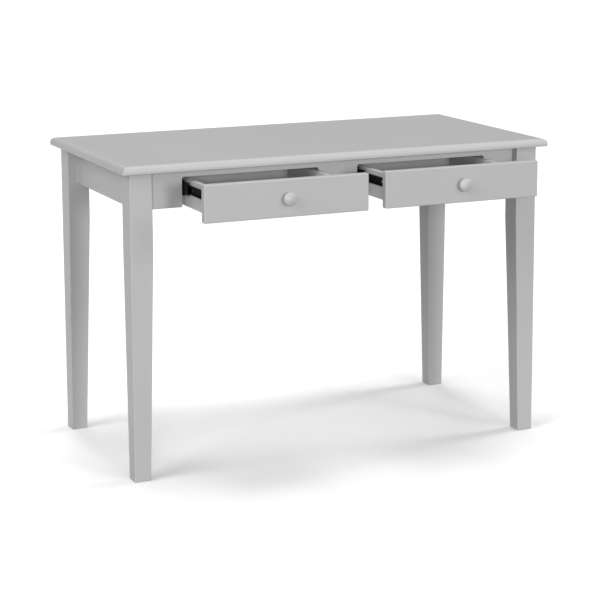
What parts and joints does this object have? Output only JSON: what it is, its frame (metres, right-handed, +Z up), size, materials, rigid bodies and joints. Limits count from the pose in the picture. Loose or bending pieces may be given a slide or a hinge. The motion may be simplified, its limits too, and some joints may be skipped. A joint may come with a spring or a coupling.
{
  "type": "writing desk with drawers",
  "caption": "Writing desk with a moulded top on tapered square legs, and shallow drawers that pull out on ball-bearing slides.",
  "frame": {"origin": "on the floor under the middle of the desk's whole box, with the drawers pulled out as they stand at rest", "axes": "+X to the desk's right seen from the front, along its length; +Y to the back, so the drawers open towards -Y; +Z up"},
  "size_m": [1.114, 0.762, 0.75],
  "materials": {
    "grey_painted_wood": "satin grey paint, smooth, edges softened",
    "drawer_bottom_board": "thin board with the same satin grey paint",
    "bare_wood": "planed, unpainted softwood",
    "black_steel": "black coated rolled steel, satin",
    "bearing_steel": "bright bearing steel with a film of grease",
    "zinc_steel": "zinc-plated steel"
  },
  "bodies": {
    "desk": {"tabletop": "grey_painted_wood", "front_left_leg": "grey_painted_wood", "front_right_leg": "grey_painted_wood", "back_left_leg": "grey_painted_wood", "back_right_leg": "grey_painted_wood", "front_left_corner_block": "bare_wood", "front_right_corner_block": "bare_wood", "back_left_corner_block": "bare_wood", "back_right_corner_block": "bare_wood", "front_rail": "grey_painted_wood", "back_apron": "grey_painted_wood", "left_end_apron": "grey_painted_wood", "right_end_apron": "grey_painted_wood", "left_drawer_outer_runner": "grey_painted_wood", "left_drawer_inner_runner": "grey_painted_wood", "right_drawer_inner_runner": "grey_painted_wood", "right_drawer_outer_runner": "grey_painted_wood", "frame_dowels": "bare_wood", "runner_dowels": "bare_wood", "hanger_bolts": "zinc_steel", "bolt_washers": "zinc_steel", "bolt_nuts": "zinc_steel", "tabletop_clips": "zinc_steel", "tabletop_clip_screws": "zinc_steel", "cabinet_slide_screws": "black_steel", "left_drawer_left_slide_cabinet_member": "black_steel", "left_drawer_right_slide_cabinet_member": "black_steel", "right_drawer_left_slide_cabinet_member": "black_steel", "right_drawer_right_slide_cabinet_member": "black_steel"},
    "left_drawer": {"left_drawer_front": "grey_painted_wood", "left_drawer_left_side": "grey_painted_wood", "left_drawer_right_side": "grey_painted_wood", "left_drawer_back": "grey_painted_wood", "left_drawer_bottom": "drawer_bottom_board", "left_drawer_dowels": "bare_wood", "left_drawer_knob": "grey_painted_wood", "left_drawer_knob_screw": "zinc_steel", "left_drawer_slide_screws": "black_steel", "left_drawer_left_slide_drawer_member": "black_steel", "left_drawer_right_slide_drawer_member": "black_steel"},
    "left_slide_middles": {"left_drawer_left_slide_middle_member": "black_steel", "left_drawer_right_slide_middle_member": "black_steel"},
    "left_outer_cages": {"left_drawer_outer_ball_cages": "bearing_steel"},
    "left_inner_cages": {"left_drawer_inner_ball_cages": "bearing_steel"},
    "right_drawer": {"right_drawer_front": "grey_painted_wood", "right_drawer_left_side": "grey_painted_wood", "right_drawer_right_side": "grey_painted_wood", "right_drawer_back": "grey_painted_wood", "right_drawer_bottom": "drawer_bottom_board", "right_drawer_dowels": "bare_wood", "right_drawer_knob": "grey_painted_wood", "right_drawer_knob_screw": "zinc_steel", "right_drawer_slide_screws": "black_steel", "right_drawer_left_slide_drawer_member": "black_steel", "right_drawer_right_slide_drawer_member": "black_steel"},
    "right_slide_middles": {"right_drawer_left_slide_middle_member": "black_steel", "right_drawer_right_slide_middle_member": "black_steel"},
    "right_outer_cages": {"right_drawer_outer_ball_cages": "bearing_steel"},
    "right_inner_cages": {"right_drawer_inner_ball_cages": "bearing_steel"}
  },
  "joints": [
    {"name": "left_drawer_slide", "type": "slide", "parent": "desk", "child": "left_drawer", "axis": [0, -1, 0], "range_m": [-0.197, 0.123]},
    {"name": "left_slide_middles_slide", "type": "slide", "parent": "desk", "child": "left_slide_middles", "axis": [0, -1, 0], "range_m": [-0.0985, 0.0615]},
    {"name": "left_outer_cages_slide", "type": "slide", "parent": "desk", "child": "left_outer_cages", "axis": [0, -1, 0], "range_m": [-0.04925, 0.03075]},
    {"name": "left_inner_cages_slide", "type": "slide", "parent": "desk", "child": "left_inner_cages", "axis": [0, -1, 0], "range_m": [-0.14775, 0.09225]},
    {"name": "right_drawer_slide", "type": "slide", "parent": "desk", "child": "right_drawer", "axis": [0, -1, 0], "range_m": [-0.1935, 0.1265]},
    {"name": "right_slide_middles_slide", "type": "slide", "parent": "desk", "child": "right_slide_middles", "axis": [0, -1, 0], "range_m": [-0.09675, 0.06325]},
    {"name": "right_outer_cages_slide", "type": "slide", "parent": "desk", "child": "right_outer_cages", "axis": [0, -1, 0], "range_m": [-0.04838, 0.03163]},
    {"name": "right_inner_cages_slide", "type": "slide", "parent": "desk", "child": "right_inner_cages", "axis": [0, -1, 0], "range_m": [-0.14513, 0.09488]}
  ],
  "couplings": [
    {"joint": "left_slide_middles_slide", "follows": "left_drawer_slide", "ratio": 0.5},
    {"joint": "left_outer_cages_slide", "follows": "left_drawer_slide", "ratio": 0.25},
    {"joint": "left_inner_cages_slide", "follows": "left_drawer_slide", "ratio": 0.75},
    {"joint": "right_slide_middles_slide", "follows": "right_drawer_slide", "ratio": 0.5},
    {"joint": "right_outer_cages_slide", "follows": "right_drawer_slide", "ratio": 0.25},
    {"joint": "right_inner_cages_slide", "follows": "right_drawer_slide", "ratio": 0.75}
  ]
}
